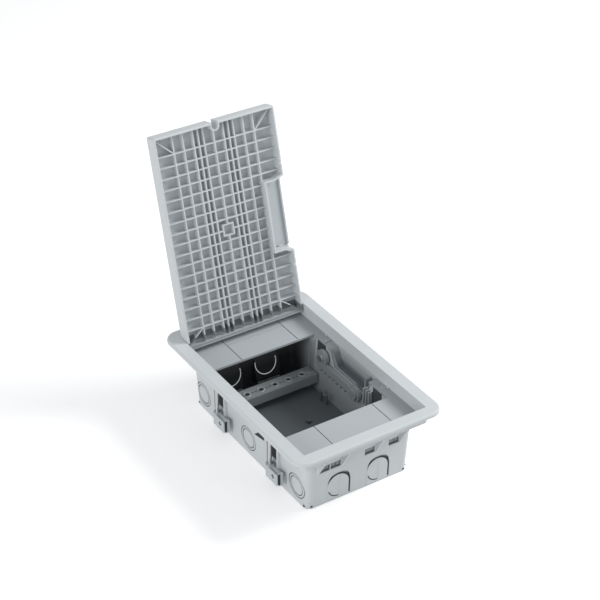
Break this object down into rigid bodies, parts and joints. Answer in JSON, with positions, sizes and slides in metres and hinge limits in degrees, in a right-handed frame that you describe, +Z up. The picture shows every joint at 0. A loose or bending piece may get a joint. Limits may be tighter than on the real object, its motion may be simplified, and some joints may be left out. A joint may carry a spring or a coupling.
{
  "type": "floor socket box",
  "caption": "Rectangular in-floor socket box: open ribbed lid with a cable flap, flanged trim frame, recessed deck, drafted tray, accessory rails, cable comb and fixing claws.",
  "frame": {"origin": "middle of the tray's underside", "axes": "+X to the side with the cable outlet, +Y to the lid's hinge end, +Z up out of the floor"},
  "size_m": [0.1714, 0.3046, 0.2931],
  "materials": {
    "grey_plastic": "matte light grey moulding",
    "claw_plastic": "matte light grey moulding",
    "zinc_steel": "bright zinc plate"
  },
  "bodies": {
    "housing": {"floor_tray": "grey_plastic", "trim_frame": "grey_plastic", "near_cover_plate": "grey_plastic", "far_cover_plate": "grey_plastic", "near_rail": "grey_plastic", "far_rail": "grey_plastic", "rail_screws": "zinc_steel", "comb_pivot_pin": "zinc_steel"},
    "lid": {"lid_shell": "grey_plastic", "hinge_pin_left": "zinc_steel", "hinge_pin_right": "zinc_steel", "flap_pin": "zinc_steel"},
    "flap": {"cable_flap": "grey_plastic"},
    "comb": {"cable_comb": "grey_plastic"},
    "comb_lock": {"comb_knob": "grey_plastic"},
    "screw_left_near": {"claw_screw_left_near": "zinc_steel"},
    "nut_left_near": {"claw_nut_left_near": "zinc_steel"},
    "arm_left_near": {"claw_arm_left_near": "claw_plastic"},
    "screw_left_far": {"claw_screw_left_far": "zinc_steel"},
    "nut_left_far": {"claw_nut_left_far": "zinc_steel"},
    "arm_left_far": {"claw_arm_left_far": "claw_plastic"},
    "screw_right_near": {"claw_screw_right_near": "zinc_steel"},
    "nut_right_near": {"claw_nut_right_near": "zinc_steel"},
    "arm_right_near": {"claw_arm_right_near": "claw_plastic"},
    "screw_right_far": {"claw_screw_right_far": "zinc_steel"},
    "nut_right_far": {"claw_nut_right_far": "zinc_steel"},
    "arm_right_far": {"claw_arm_right_far": "claw_plastic"}
  },
  "joints": [
    {"name": "lid_hinge", "type": "hinge", "parent": "housing", "child": "lid", "pos_m": [0, 0.10815, 0.0726], "axis": [-1, 0, 0], "range_deg": [-104.6, 0]},
    {"name": "flap_hinge", "type": "hinge", "parent": "lid", "child": "flap", "pos_m": [0.0515, 0.14098, 0.17761], "axis": [0, 0.2521, 0.9677], "range_deg": [0, 90]},
    {"name": "comb_hinge", "type": "hinge", "parent": "housing", "child": "comb", "pos_m": [0.0568, 0.0426, 0.0508], "axis": [-1, 0, 0], "range_deg": [0, 90]},
    {"name": "comb_lock_turn", "type": "hinge", "parent": "comb", "child": "comb_lock", "pos_m": [0.0568, -0.0175, 0.0405], "axis": [-1, 0, 0], "range_deg": [0, 90]},
    {"name": "screw_turn_left_near", "type": "hinge", "parent": "housing", "child": "screw_left_near", "pos_m": [-0.0675, -0.051, 0.04], "axis": [0, 0, 1], "range_deg": [0, 7200]},
    {"name": "nut_lift_left_near", "type": "slide", "parent": "housing", "child": "nut_left_near", "axis": [0, 0, 1], "range_m": [0, 0.014]},
    {"name": "claw_swing_left_near", "type": "hinge", "parent": "nut_left_near", "child": "arm_left_near", "pos_m": [-0.0675, -0.051, 0.0185], "axis": [0, 0, -1], "range_deg": [0, 90]},
    {"name": "screw_turn_left_far", "type": "hinge", "parent": "housing", "child": "screw_left_far", "pos_m": [-0.0675, 0.051, 0.04], "axis": [0, 0, 1], "range_deg": [0, 7200]},
    {"name": "nut_lift_left_far", "type": "slide", "parent": "housing", "child": "nut_left_far", "axis": [0, 0, 1], "range_m": [0, 0.014]},
    {"name": "claw_swing_left_far", "type": "hinge", "parent": "nut_left_far", "child": "arm_left_far", "pos_m": [-0.0675, 0.051, 0.0185], "axis": [0, 0, -1], "range_deg": [0, 90]},
    {"name": "screw_turn_right_near", "type": "hinge", "parent": "housing", "child": "screw_right_near", "pos_m": [0.0675, -0.051, 0.04], "axis": [0, 0, 1], "range_deg": [0, 7200]},
    {"name": "nut_lift_right_near", "type": "slide", "parent": "housing", "child": "nut_right_near", "axis": [0, 0, 1], "range_m": [0, 0.014]},
    {"name": "claw_swing_right_near", "type": "hinge", "parent": "nut_right_near", "child": "arm_right_near", "pos_m": [0.0675, -0.051, 0.0185], "axis": [0, 0, 1], "range_deg": [0, 90]},
    {"name": "screw_turn_right_far", "type": "hinge", "parent": "housing", "child": "screw_right_far", "pos_m": [0.0675, 0.051, 0.04], "axis": [0, 0, 1], "range_deg": [0, 7200]},
    {"name": "nut_lift_right_far", "type": "slide", "parent": "housing", "child": "nut_right_far", "axis": [0, 0, 1], "range_m": [0, 0.014]},
    {"name": "claw_swing_right_far", "type": "hinge", "parent": "nut_right_far", "child": "arm_right_far", "pos_m": [0.0675, 0.051, 0.0185], "axis": [0, 0, 1], "range_deg": [0, 90]}
  ],
  "couplings": [
    {"joint": "screw_turn_left_near", "follows": "nut_lift_left_near", "rad_per_m": 8976},
    {"joint": "screw_turn_left_far", "follows": "nut_lift_left_far", "rad_per_m": 8976},
    {"joint": "screw_turn_right_near", "follows": "nut_lift_right_near", "rad_per_m": 8976},
    {"joint": "screw_turn_right_far", "follows": "nut_lift_right_far", "rad_per_m": 8976}
  ]
}
